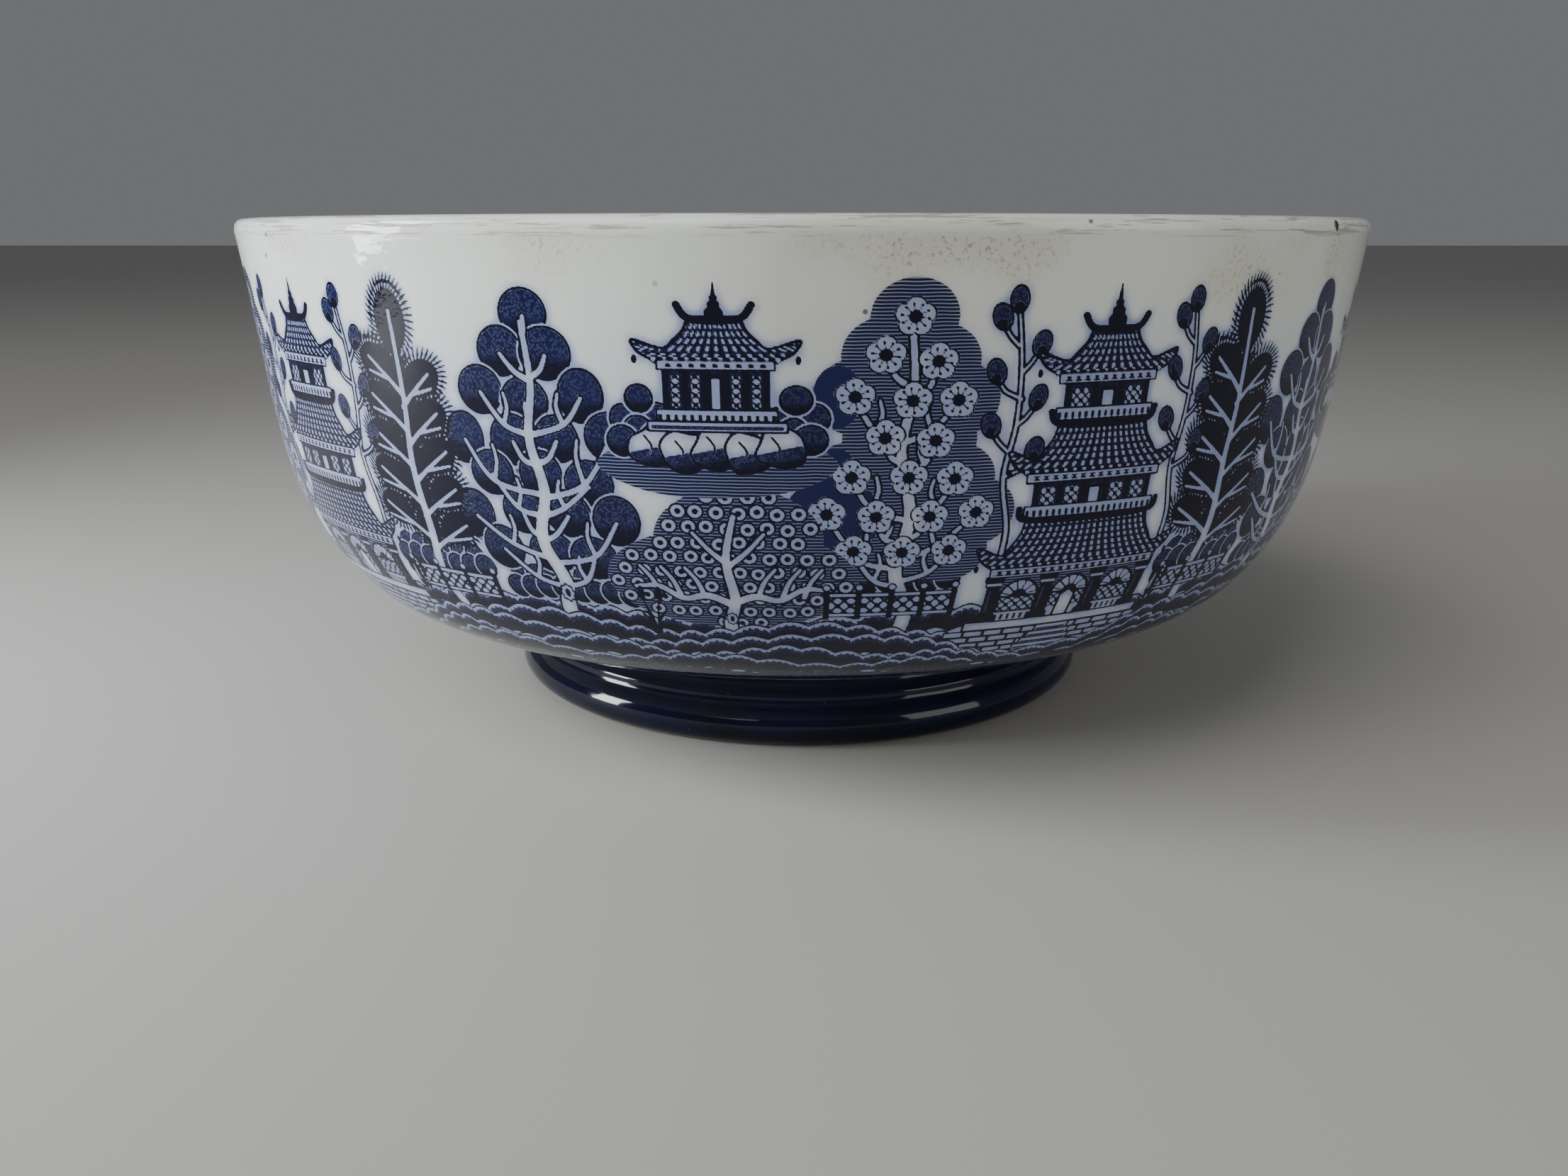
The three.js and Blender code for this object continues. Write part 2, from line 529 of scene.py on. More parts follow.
def knot(x, y, rx, ry):
    """A scalloped scar with a dark hollow."""
    window = window_at(x, y, rx, ry)
    u = (window.X - x) / rx
    v = (window.Y - y) / ry
    edge = 0.80 + 0.20 * np.abs(np.cos(4 * np.arctan2(v, u)))
    d = np.hypot(u, v)
    window.put(d < edge, NAVY)
    window.put(d < edge - 0.2, BARE)
    oval(x, y, 0.32 * rx, 0.44 * ry, NAVY)


def round_leaf_tree(x):
    """Seven rows of round leaves on a wavy pale trunk."""
    places = crown_places(x, 12.2, (1, 2, 3, 4, 3, 4, 3), (8.5, 6.9), 5, 0.8)
    rng = np.random.default_rng(6)
    for px, py in places:
        round_leaf(px, py, rng.uniform(3.8, 4.4), rng.uniform(4.0, 4.7))
    trunk = beside(x, [(2.6, GROUND), (0.6, 66.0), (1.6, 59.0), (-0.9, 51.0), (0.9, 42.0), (-0.7, 33.0),
                       (0.6, 24.0), (0, 14.0)])
    branches([(trunk, 3.2, 0.8)] + limbs_to(places, trunk, 1.1, 7), 0.36)
    knot(x + 1.3, 61.8, 1.5, 2.2)


def fern_lobe(x, y, rx, ry, tilt):
    """Foliage that is black at its heart and frays into ticks at its edge."""
    c = math.cos(math.radians(tilt))
    s = math.sin(math.radians(tilt))
    count = int(math.pi * (rx + ry) / 0.86)
    for ring, length in ((0.74, 1.5), (0.98, 1.35)):
        for i in range(count):
            a = 2 * math.pi * (i + ring) / count
            px = rx * ring * math.cos(a)
            py = ry * ring * math.sin(a)
            qx = px + length * math.cos(a + 0.45)
            qy = py + length * math.sin(a + 0.45) - 0.4
            stroke([(x + px * c - py * s, y + px * s + py * c),
                    (x + qx * c - qy * s, y + qx * s + qy * c)], 0.42, NAVY, 0.22)
    oval(x, y, 0.80 * rx, 0.80 * ry, NAVY, 0, tilt)


def fern_tree(x):
    """Dark frayed lobes in pairs up a pale trunk."""
    trunk = beside(x, [(1.4, GROUND), (-0.6, 62.0), (0.5, 52.0), (-0.3, 40.0), (0.4, 28.0), (0, 13.0)])
    lobes = [(x, 14.6, 4.3, 6.6, 0)]
    limbs = []
    for k in range(5):
        y = 23.0 + 6.7 * k
        out = 5.0 + 0.5 * k
        lobes.append((x, y + 2.0, 3.4, 4.4, 0))
        for side in (-1, 1):
            rise = y + 1.2 * side
            lobes.append((x + side * out, rise, 5.0, 3.9, -26 * side))
            limb = [(0, rise + 5.2), (0.55 * out, rise + 2.6), (1.35 * out, rise - 0.9)]
            twig = [(0.5 * out, rise + 2.8), (0.8 * out, rise + 2.5), (1.4 * out, rise + 1.6)]
            limbs.append((beside(x, limb, side), 1.0, 0.5))
            limbs.append((beside(x, twig, side), 0.8, 0.45))
    for lobe in lobes:
        fern_lobe(*lobe)
    branches([(trunk, 2.4, 0.7)] + limbs, 0.3)


def blossom(x, y, radius):
    """Five round petals, ten stamens and a dark heart."""
    window = window_at(x, y, radius, radius)
    angle = np.arctan2(window.Y - y, window.X - x) + 0.3
    d = np.hypot(window.X - x, window.Y - y)
    edge = radius * (0.74 + 0.26 * np.sqrt(np.abs(np.cos(2.5 * angle))))
    window.put(d < edge, NAVY)
    window.put(d < edge - 0.3, BARE)
    for i in range(10):
        a = math.radians(36 * i + 9)
        inner = (x + 0.3 * radius * math.cos(a), y + 0.3 * radius * math.sin(a))
        outer = (x + 0.62 * radius * math.cos(a), y + 0.62 * radius * math.sin(a))
        stroke([inner, outer], 0.18)
        oval(outer[0], outer[1], 0.25, 0.25, NAVY)
    oval(x, y, 0.30 * radius, 0.30 * radius, NAVY)


def blossom_tree(x):
    """Blossoms on a cloud of ruled lines, with flat blue behind its left side."""
    places = crown_places(x, 12.6, (1, 2, 3, 2, 3, 4, 3), (7.8, 6.5), 21, 0.6)
    for px, py in places:
        oval(px, py, 6.4, 6.0, RULED)
    for px, py in places:
        if px < x - 4:
            oval(px - 2.6, py, 3.6, 5.0, BLUE)
    trunk = beside(x, [(0.6, GROUND), (2.0, 64.0), (-0.6, 55.0), (1.1, 45.0), (-0.8, 34.0), (0.7, 24.0),
                       (0, 14.0)])
    branches([(trunk, 2.8, 0.8)] + limbs_to(places, trunk, 1.0, 9), 0.38)
    for px, py in places:
        blossom(px, py, 3.2)
    knot(x + 1.3, 62.0, 1.4, 2.0)


def berry_bush(x):
    """A low crown packed with ringed berries, over ruled shade."""
    crown = ((x, 57.2, 19.6, 9.4), (x + 1.5, 49.4, 12.4, 8.6))
    for cx, cy, rx, ry in crown:
        oval(cx, cy, rx + 1.0, ry + 0.9, RULED)
    rng = np.random.default_rng(11)
    for row in range(10):
        y = 41.6 + 2.75 * row
        for i in range(-7, 8):
            px = x + 3.15 * (i + (0.5 if row % 2 else 0.0)) + rng.uniform(-0.25, 0.25)
            py = y + rng.uniform(-0.25, 0.25)
            if min(math.hypot((px - cx) / rx, (py - cy) / ry) for cx, cy, rx, ry in crown) < 1:
                oval(px, py, 1.48, 1.46, BARE, 0.36)
                oval(px, py, 0.52, 0.52, NAVY)
    trunk = beside(x, [(1.0, GROUND), (-0.6, 67.0), (0.6, 61.0), (-0.5, 53.0), (0.9, 45.0)])
    low = [(0, 62.0), (4, 60.2), (8, 61.0), (12, 58.6), (16, 58.9)]
    high = [(0, 54.0), (3.0, 51.2), (5.6, 48.0)]
    limbs = []
    for side in (-1, 1):
        limbs.append((beside(x, low, side), 1.5, 0.7))
        for start in (4.5, 8.5, 12.0):
            twig = [(start, 60.2), (start + 1.0, 57.2), (start + 2.8, 54.6)]
            limbs.append((beside(x, twig, side), 0.9, 0.5))
        limbs.append((beside(x, high, side), 1.0, 0.5))
    branches([(trunk, 2.6, 0.8)] + limbs, 0.34)
    knot(x - 0.2, 65.4, 1.1, 1.6)


def fence(x0, x1, top):
    """A low garden fence of posts, rails and crossed laths."""
    lattice(x0, x1, top + 0.6, top + 4.6, 2.2)
    for rail in (top + 0.3, top + 4.7):
        branches([([(x0, rail), (x1, rail)], 0.6, 0.6)], 0.28)
    count = max(1, round((x1 - x0) / 6.0))
    for i in range(count + 1):
        post = x0 + (x1 - x0) * i / count
        box(post - 0.5, top - 0.9, post + 0.5, top + 5.8, NAVY)
        oval(post, top - 1.3, 0.8, 0.8, BARE, 0.28)


def reeds(x, y, seed):
    """A tuft of blades and two bulrushes."""
    rng = np.random.default_rng(seed)
    for i in range(9):
        lean = rng.uniform(-3.4, 3.4)
        tall = rng.uniform(4.0, 8.0)
        blade = [(x + 0.2 * lean, y), (x + 0.4 * lean, y - 0.6 * tall), (x + lean, y - tall)]
        curve(blade, 0.62, NAVY, 0.1)
    for lean in (-1.3, 1.5):
        curve([(x, y), (x + lean, y - 8.5)], 0.3)
        oval(x + lean * 1.1, y - 9.6, 0.6, 1.6, NAVY)


# ---- the ground ----


def bank(level, swells, ripples, phase, dip=5.2):
    """A fold of ground across the sheet: a pale rippled crest, stippled down into shadow.

    dip is how far it bends down to leave the terrace showing.
    """
    x = np.arange(0, REPEAT + 0.25, 0.25)
    turn = 2 * math.pi * x / REPEAT
    crest = level + 1.5 * np.sin(swells * turn + phase)
    crest -= 1.25 * np.abs(np.sin(ripples * turn / 2 + phase + 0.9 * np.sin(3 * turn)))
    crest += dip * np.exp(-(((x - PAGODA_X) / (TERRACE_HALF - 3.0)) ** 4))
    window = Window(0, level - 4, REPEAT - 0.2, level + 12)
    top = np.interp(window.x, x, crest)[None, :]
    depth = window.Y - top
    grain = 0.24 * np.sin(window.X * 5.1 + np.sin(window.Y * 3.0)) + 0.2 * np.sin(window.X * 11.7)
    fold = (depth > 0) & (depth < 5.6)
    window.put(fold, BARE)
    window.put(fold & (depth > 1.0 + grain), LEAFY)
    window.darken(fold, (depth - 1.5 + grain) / 1.1)
    window.put((depth > -0.2) & (depth < 0.2), NAVY)


def foreground():
    """Dark ground down to the foot, closely ruled, with a few pale stones."""
    start = 81.2
    end = BAND_BOTTOM - 0.8
    window = Window(0, start - 0.8, REPEAT - 0.2, BAND_BOTTOM)
    edge = start + 0.5 * np.sin(window.X * 2 * math.pi * 9 / REPEAT)
    furrow = part_of(window.Y / 0.9 + 0.25 * np.sin(window.X * 0.7))
    dark = (window.Y > edge) & (window.Y < end)
    window.put(dark, LEAFY)
    window.put(dark & (furrow < 0.72), NAVY)
    for x in (12.0, 38.0, 61.0, 96.0, 121.0):
        oval(x, start + 1.4, 2.4, 0.9, BARE, 0.3)
        oval(x + 3.4, start + 2.1, 1.3, 0.6, BARE, 0.26)


def engrave():
    """The whole plate, from the back of the scene to the front."""
    bank(65.6, 2, 22, 0.4, dip=0.0)
    hedge(29.0, 48.5, 54.4, 51)
    hedge(92.0, 112.0, 56.0, 52)
    hedge(118.0, 143.0, 58.6, 53)
    blossom_tree(40.0)
    round_leaf_tree(126.5)
    berry_bush(13.0)
    pavilion(12.0)
    fern_tree(101.0)
    sprig(56.4, 7.8, 58.0, 61)
    sprig(88.0, 8.4, 58.0, 62)
    fence(28.6, 50.0, 59.6)
    fence(92.5, 113.0, 60.4)
    bank(68.4, 3, 26, 1.3)
    tall_pagoda(PAGODA_X)
    reeds(92.5, 71.0, 3)
    reeds(143.0, 70.0, 8)
    bank(71.6, 2, 24, 2.2)
    bank(74.8, 4, 28, 0.8)
    bank(78.0, 3, 23, 3.6)
    foreground()


engrave()


# ---- wrapping the plate round the bowl ----


def box_mean(field, x, y, width):
    """The mean of the plate over a small square at each sheet position."""
    pad = 32
    wide = np.concatenate([field[:, -pad:], field, field[:, :pad]], axis=1)
    wide = np.concatenate([np.repeat(wide[:1], pad, 0), wide, np.repeat(wide[-1:], pad, 0)], axis=0)
    total = np.zeros((wide.shape[0] + 1, wide.shape[1] + 1))
    total[1:, 1:] = wide.cumsum(0).cumsum(1)
    half = width * PLATE_PX / 2
    cx = (x % REPEAT) * PLATE_PX + pad
    cy = (y - BAND_TOP) * PLATE_PX + pad
    c0 = np.clip(np.round(cx - half).astype(int), 0, wide.shape[1])
    c1 = np.clip(np.round(cx + half).astype(int), 0, wide.shape[1])
    r0 = np.clip(np.round(cy - half).astype(int), 0, wide.shape[0])
    r1 = np.clip(np.round(cy + half).astype(int), 0, wide.shape[0])
    sums = total[r1][:, c1] - total[r0][:, c1] - total[r1][:, c0] + total[r0][:, c0]
    area = (r1 - r0)[:, None] * (c1 - c0)[None, :]
    return (sums / np.maximum(area, 1)).astype(np.float32)


def sheet_x(degrees):
    """Sheet position for an angle round the bowl."""
    return (PAGODA_X + SHEET_PER_DEGREE * (degrees - PAGODA_ANGLE)) % REPEAT


def bezier(a, b, c, d, steps):
    """Points along a cubic curve from a to d, pulled towards b and c."""
    t = np.linspace(0, 1, steps)[:, None]
    a, b, c, d = (np.array(p, float) for p in (a, b, c, d))
    return (1 - t) ** 3 * a + 3 * (1 - t) ** 2 * t * b + 3 * (1 - t) * t * t * c + t**3 * d


def outer_wall():
    """The outside of the bowl, (radius, height), from the lip down to the foot."""
    lower = bezier(SEAM_OUTER, (79.8, 20.45), (99.64, 22.6), SHOULDER, 300)
    upper = bezier(SHOULDER, (123.75, 51.4), (121.8, 67.3), LIP_EDGE, 300)
    return np.vstack([lower, upper[1:]])[::-1]


WALL_LINE = outer_wall()
WALL_ARC = np.concatenate([[0], np.cumsum(np.hypot(*np.diff(WALL_LINE, axis=0).T))])


def wall_at(s):
    """(radius, height) at a distance below the lip."""
    return np.stack([np.interp(s, WALL_ARC, WALL_LINE[:, k]) for k in (0, 1)], -1)


def new_mesh(name, points, quads):
    """A smooth-shaded mesh of quads."""
    mesh = bpy.data.meshes.new(name)
    mesh.vertices.add(len(points))
    mesh.vertices.foreach_set("co", np.asarray(points, np.float32).ravel())
    mesh.loops.add(quads.size)
    mesh.loops.foreach_set("vertex_index", quads.astype(np.int32).ravel())
    mesh.polygons.add(len(quads))
    mesh.polygons.foreach_set("loop_start", np.arange(0, quads.size, 4, dtype=np.int32))
    mesh.update(calc_edges=True)
    mesh.polygons.foreach_set("use_smooth", np.ones(len(quads), bool))
    mesh.update()
    return mesh


def spun_points(line, angles):
    """Points of a profile (radius, height in mm) spun to each angle in degrees, 0 at the front."""
    a = np.radians(angles)
    r = line[:, 0][:, None]
    x = r * np.sin(a)[None, :]
    y = -r * np.cos(a)[None, :]
    z = np.repeat(line[:, 1][:, None], len(angles), 1)
    return np.stack([x, y, z], -1) * MM


def grid_quads(rows, cols, closed=False, ring=False):
    """Quads of a grid whose rows run down the outside and whose columns run to the right.

    A closed grid joins its last column to its first. A ring also joins its last row to its first.
    """
    i = np.arange(rows if ring else rows - 1)[:, None]
    j = np.arange(cols if closed else cols - 1)[None, :]
    row = i * cols
    below = (i + 1) % rows * cols
    right = (j + 1) % cols
    return np.stack([row + j, below + j, below + right, row + right], -1).reshape(-1, 4)


def add_piece(name, mesh, material, node):
    """Adds a mesh to the scene as a piece that stands for a CAD node."""
    piece = bpy.data.objects.new(name, mesh)
    bpy.context.scene.collection.objects.link(piece)
    mesh.materials.append(material)
    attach(piece, "root")
    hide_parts(node)


def set_attribute(mesh, name, kind, values):
    """Gives each point of a mesh a number, a colour or a vector, for its material to read."""
    field = {"FLOAT": "value", "FLOAT_COLOR": "color", "FLOAT_VECTOR": "vector"}[kind]
    attribute = mesh.attributes.new(name, kind, "POINT")
    attribute.data.foreach_set(field, np.ascontiguousarray(values, np.float32).ravel())


# ---- materials ----


class Nodes:
    """Short calls for building a node tree."""

    def __init__(self, name):
        self.material = bpy.data.materials.new(name)
        self.material.use_nodes = True
        self.tree = self.material.node_tree
        self.tree.nodes.clear()
        self.shader = self.node("BsdfPrincipled")
        self.node("OutputMaterial", {0: self.shader.outputs[0]})

    def put(self, socket, value):
        """Links a socket to another, or gives it a value."""
        if isinstance(value, bpy.types.NodeSocket):
            self.tree.links.new(value, socket)
        else:
            socket.default_value = value

    def set(self, name, value):
        """Feeds a socket of the shader."""
        self.put(self.shader.inputs[name], value)

    def node(self, kind, sockets=None):
        """A new node, with its sockets fed by name or number."""
        node = self.tree.nodes.new("ShaderNode" + kind)
        for key, value in (sockets or {}).items():
            self.put(node.inputs[key], value)
        return node

    def math(self, operation, a, b=0.0):
        node = self.node("Math", {0: a, 1: b})
        node.operation = operation
        return node.outputs[0]

    def plus(self, a, b):
        return self.math("ADD", a, b)

    def minus(self, a, b):
        return self.math("SUBTRACT", a, b)

    def times(self, a, b):
        return self.math("MULTIPLY", a, b)

    def ramp(self, value, low, high):
        """From 0 at low to 1 at high, smooth between; low may be the greater."""
        node = self.node("MapRange", {"Value": value, "From Min": low, "From Max": high})
        node.interpolation_type = "SMOOTHSTEP"
        return node.outputs["Result"]

    def mix(self, factor, a, b):
        """Colour a where the factor is 0, and b where it is 1."""
        node = self.node("Mix")
        node.data_type = "RGBA"
        for key, value in ((0, factor), (6, a), (7, b)):
            self.put(node.inputs[key], value)
        return node.outputs[2]

    def position(self):
        return self.node("TexCoord").outputs["Object"]

    def noise(self, scale, detail=2.0, stretch=None, rough=0.5):
        """Cloudy noise about 0.5; stretch scales x, y and z before it."""
        vector = self.position()
        if stretch:
            vector = self.node("Mapping", {"Vector": vector, "Scale": stretch}).outputs[0]
        sockets = {"Vector": vector, "Scale": scale, "Detail": detail, "Roughness": rough}
        return self.node("TexNoise", sockets).outputs["Fac"]

    def cells(self, scale):
        """The distance to the nearest of many scattered points."""
        return self.node("TexVoronoi", {"Vector": self.position(), "Scale": scale}).outputs["Distance"]

    def spots(self, scale, radius):
        """1 at the heart of scattered round spots."""
        return self.ramp(self.cells(scale), radius, radius * 0.55)

    def xyz(self, vector):
        """The three coordinates of a vector."""
        return self.node("SeparateXYZ", {0: vector}).outputs

    def bump(self, height, strength, distance, normal=None):
        """A bumped normal, on top of another if one is given."""
        node = self.node("Bump", {"Strength": strength, "Distance": distance, "Height": height})
        if normal is not None:
            self.put(node.inputs["Normal"], normal)
        return node.outputs[0]

    def attribute(self, name):
        node = self.node("Attribute")
        node.attribute_name = name
        return node


# Linear colours, as the shader takes them.
WHITE_GLAZE = (0.785, 0.828, 0.785, 1)
WARM_GLAZE = (0.72, 0.705, 0.625, 1)
WISP = (0.46, 0.50, 0.55, 1)
# a dull blue for the printed band: partly the tint the print gives the glaze, partly painted shade
BAND_TINT_AND_SHADE = (0.50, 0.58, 0.74, 1)
LAVENDER = (0.29, 0.345, 0.57, 1)
COBALT = (0.008, 0.012, 0.082, 1)
COBALT_DARK = (0.0030, 0.0052, 0.0400, 1)
COBALT_LIGHT = (0.031, 0.037, 0.112, 1)
NEAR_BLACK = (0.0006, 0.0012, 0.0140, 1)
TEA = (0.60, 0.53, 0.40, 1)
STAIN = (0.30, 0.22, 0.14, 1)
WORN = (0.21, 0.165, 0.115, 1)
SPECK = (0.03, 0.028, 0.035, 1)
FOOT_DARK = (0.0005, 0.0010, 0.0090, 1)
FOOT_BLUE = (0.0013, 0.0024, 0.0300, 1)
FOOT_SPECK = (0.09, 0.10, 0.13, 1)
CLAY_PALE = (0.42, 0.34, 0.24, 1)
CLAY_DARK = (0.20, 0.15, 0.10, 1)
SLIP_DARK = (0.012, 0.014, 0.034, 1)
SLIP_PALE = (0.05, 0.05, 0.07, 1)
PALE_PAINT = (0.43, 0.42, 0.40, 1)

PRINT_IOR = 1.38                      # a little low, because the pale floor shows in the inks
FOOT_IOR = 1.45
RULE_PITCH = 0.56                     # from one ruled line to the next, in millimetres
NICK = (0.0973, -0.0816, 0.1072)      # a dark chip in the lip, at the right, in metres


def worn_glaze(n, halo, down):
    """The white glaze: warm clouds, a blue tint with painted shade over the printed band, blue bleed
    round the ink, pitting and a worn lip.

    down is the distance below the lip in millimetres on the printed band, and 0 elsewhere.
    """
    cloud = n.times(n.ramp(n.noise(26.0, 3.0), 0.40, 0.72), 0.6)
    glaze = n.mix(cloud, WHITE_GLAZE, WARM_GLAZE)
    wisp = n.ramp(n.noise(15.0, 3.0, (1.0, 1.0, 2.2)), 0.50, 0.66)
    glaze = n.mix(n.times(wisp, 0.18), glaze, WISP)
    # over the printed band the white is mixed towards a dull blue: partly a blue tint, partly painted
    # shade that darkens the band below the lip
    band = n.times(n.ramp(down, 8.0, 26.0), n.ramp(down, 91.0, 84.0))
    glaze = n.mix(n.times(band, 0.42), glaze, BAND_TINT_AND_SHADE)
    bleed = n.plus(halo, n.times(n.noise(160.0, 3.0), 0.10))
    glaze = n.mix(n.ramp(bleed, 0.05, 0.56), glaze, LAVENDER)

    # heights in metres: stains lie below the lip, and wear on it
    z = n.xyz(n.position())[2]
    below_lip = n.times(n.ramp(z, 0.091, 0.100), n.ramp(z, 0.1065, 0.1045))
    patch = n.times(n.ramp(n.noise(28.0, 2.0), 0.54, 0.68), below_lip)
    glaze = n.mix(n.times(patch, 0.40), glaze, TEA)
    pits = n.ramp(n.noise(1300.0, 3.0, rough=0.6), 0.52, 0.68)
    pitted = n.times(patch, pits)
    glaze = n.mix(n.times(pitted, 0.66), glaze, STAIN)

    lip = n.ramp(z, 0.1045, 0.1062)
    streak = n.ramp(n.noise(60.0, 6.0, (1.0, 1.0, 20.0), 0.66), 0.53, 0.60)
    worn = n.times(streak, lip)
    glaze = n.mix(n.times(worn, 0.60), glaze, WORN)

    distance = n.node("VectorMath", {0: n.position(), 1: NICK})
    distance.operation = "DISTANCE"
    ragged = n.plus(distance.outputs["Value"], n.times(n.noise(700.0, 3.0), 0.0016))
    chip = n.ramp(ragged, 0.0021, 0.0016)
    speck = n.times(n.spots(150.0, 0.085), n.ramp(n.noise(40.0), 0.50, 0.58))
    glaze = n.mix(n.math("MAXIMUM", n.times(speck, 0.8), chip), glaze, SPECK)
    rubbed = n.math("MAXIMUM", n.times(pitted, 0.5), n.times(worn, 0.8))
    return glaze, n.math("MAXIMUM", rubbed, chip)


def printed_glaze():
    """The print under its clear glaze, and the plain glaze where there is no print."""
    n = Nodes("printed_glaze")
    ink = n.attribute("ink")
    black_ink, blue_ink, ruled_ink = n.node("SeparateColor", {0: ink.outputs["Color"]}).outputs
    halo = n.attribute("halo").outputs["Fac"]
    down = n.xyz(n.attribute("sheet").outputs["Vector"])[1]
    glaze, rubbed = worn_glaze(n, halo, down)

    # the engraver's stipple on leaves and ground: pale dots, and black that gathers as dots
    dots = n.cells(1900.0)
    leaf = n.mix(n.ramp(dots, 0.30, 0.62), COBALT_LIGHT, COBALT_DARK)

    # the inks, each edge broken a little by the grain of the paper it was pulled on
    grain = n.plus(n.times(n.noise(2300.0, 1.0), 0.30), 0.33)
    blue = n.ramp(blue_ink, n.minus(grain, 0.16), n.plus(grain, 0.16))
    gather = n.minus(n.plus(dots, 0.08), grain)
    needed = n.plus(grain, n.times(gather, ink.outputs["Alpha"]))
    black = n.ramp(black_ink, n.minus(needed, 0.14), n.plus(needed, 0.14))
    ruled = n.ramp(ruled_ink, 0.35, 0.65)
    cloudy = n.mix(n.times(n.ramp(n.noise(90.0, 2.0), 0.35, 0.65), 0.35), leaf, COBALT)
    colour = n.mix(blue, glaze, n.mix(ink.outputs["Alpha"], COBALT, cloudy))

    wobble = n.times(n.noise(300.0, 1.0), 0.5)
    course = n.plus(n.times(down, 1.0 / RULE_PITCH), wobble)
    wave = n.math("ABSOLUTE", n.minus(n.math("FRACT", course), 0.5))
    rule = n.times(n.ramp(wave, 0.12, 0.24), ruled)
    wash = n.mix(n.times(ruled, 0.45), colour, COBALT)
    colour = n.mix(rule, wash, COBALT_DARK)
    n.set("Base Color", n.mix(black, colour, NEAR_BLACK))

    rough = n.plus(n.times(n.noise(60.0, 4.0), 0.06), 0.02)
    n.set("Roughness", n.plus(rough, n.times(rubbed, 0.45)))
    n.set("IOR", PRINT_IOR)
    ripple = n.bump(n.noise(30.0, 2.0), 0.40, 0.0011)
    peel = n.bump(n.noise(330.0, 3.0), 0.22, 0.00022, ripple)
    n.set("Normal", n.bump(rubbed, 0.5, -0.0002, peel))
    return n.material


def cobalt_glaze():
    """Near-black blue glaze, with bare clay where the foot rests."""
    n = Nodes("cobalt_glaze")
    cloud = n.noise(45.0, 3.0)
    colour = n.mix(n.ramp(cloud, 0.35, 0.7), FOOT_DARK, FOOT_BLUE)
    z = n.xyz(n.position())[2]
    uneven = n.times(n.noise(240.0, 3.0), 0.0009)
    bare = n.ramp(n.minus(z, uneven), 0.0003, 0.0)
    clay = n.mix(n.ramp(n.noise(800.0, 4.0), 0.35, 0.7), CLAY_PALE, CLAY_DARK)
    colour = n.mix(bare, colour, clay)
    speck = n.spots(260.0, 0.07)
    colour = n.mix(n.times(speck, 0.4), colour, FOOT_SPECK)
    n.set("Base Color", colour)
    rough = n.plus(n.times(n.noise(70.0, 4.0), 0.08), 0.04)
    n.set("Roughness", n.plus(rough, n.times(bare, 0.6)))
    n.set("IOR", FOOT_IOR)
    ripple = n.bump(n.noise(70.0, 2.0), 0.35, 0.0008)
    n.set("Normal", n.bump(n.noise(600.0, 2.0), 0.12, 0.0001, ripple))
    return n.material


def slip_clay():
    """Clay slip that the cobalt has stained."""
    n = Nodes("slip_clay")
    colour = n.mix(n.ramp(n.noise(300.0, 4.0), 0.35, 0.7), SLIP_DARK, SLIP_PALE)
    n.set("Base Color", colour)
    n.set("Roughness", n.plus(n.times(n.noise(200.0, 3.0), 0.25), 0.2))
    n.set("Normal", n.bump(n.noise(500.0, 3.0), 0.3, 0.0002))
    return n.material


def floor_paint():
    """Plain matt paint."""
    n = Nodes("floor_paint")
    n.set("Base Color", PALE_PAINT)
    n.set("Roughness", 0.75)
    return n.material


# ---- building ----


def print_panels(material):
    """The printed wall, in panels side by side."""
    rows = int(round((BAND_BOTTOM - BAND_TOP) / STEP)) + 1
    s = np.linspace(BAND_TOP, BAND_BOTTOM, rows)
    line = wall_at(s)
    angles = np.arange(COLUMNS + 1) * 360.0 / COLUMNS
    x = sheet_x(angles)
    cover = np.stack([box_mean(plate[..., k], x, s, INK_WIDTH) for k in range(4)], -1)
    ink = np.minimum(plate[..., 0] + 0.6 * plate[..., 1] + 0.45 * plate[..., 2], 1.0)
    near, far = (box_mean(ink, x, s, width) for width in BLEED_WIDTHS)
    halo = np.clip(0.5 * near + 0.5 * far, 0, 1)
    points = spun_points(line, angles)
    each = COLUMNS // PANELS
    for k in range(PANELS):
        cut = slice(k * each, (k + 1) * each + 1)
        block = points[:, cut].reshape(-1, 3)
        name = f"print_panel_{k + 1:02d}"
        mesh = new_mesh(name, block, grid_quads(rows, each + 1))
        set_attribute(mesh, "ink", "FLOAT_COLOR", cover[:, cut].reshape(-1, 4))
        set_attribute(mesh, "halo", "FLOAT", halo[:, cut].reshape(-1))
        where = np.zeros((rows, each + 1, 3), np.float32)
        where[..., 0] = x[cut][None, :]
        where[..., 1] = s[:, None]
        set_attribute(mesh, "sheet", "FLOAT_VECTOR", where)
        add_piece(name, mesh, material, "bowl_body")


def inner_line():
    """The inside of the bowl from the lip down to the axis."""
    outside = WALL_LINE[::12]
    along = np.gradient(outside, axis=0)
    along /= np.hypot(along[:, 0], along[:, 1])[:, None]
    inside_points = outside + np.stack([along[:, 1], -along[:, 0]], -1) * WALL
    lip_end = 99.5
    floor_start = 72.0
    side = inside_points[(inside_points[:, 1] < lip_end) & (inside_points[:, 0] > floor_start)]
    floor = bezier(side[-1], (58, 22.0), (30, FLOOR_Z), (0.0, FLOOR_Z), 26)
    return np.vstack([side, floor[1:]])


def lip_line():
    """The rolled lip from its outer edge over the crest to the inside."""
    outer = bezier(LIP_EDGE, (127.0, 107.9), (126.2, 108.6), (124.5, 108.6), 14)
    inner = bezier((124.5, 108.6), (122.9, 108.6), (121.7, 107.9), (121.4, 105.4), 12)
    return np.vstack([outer, inner[1:]])


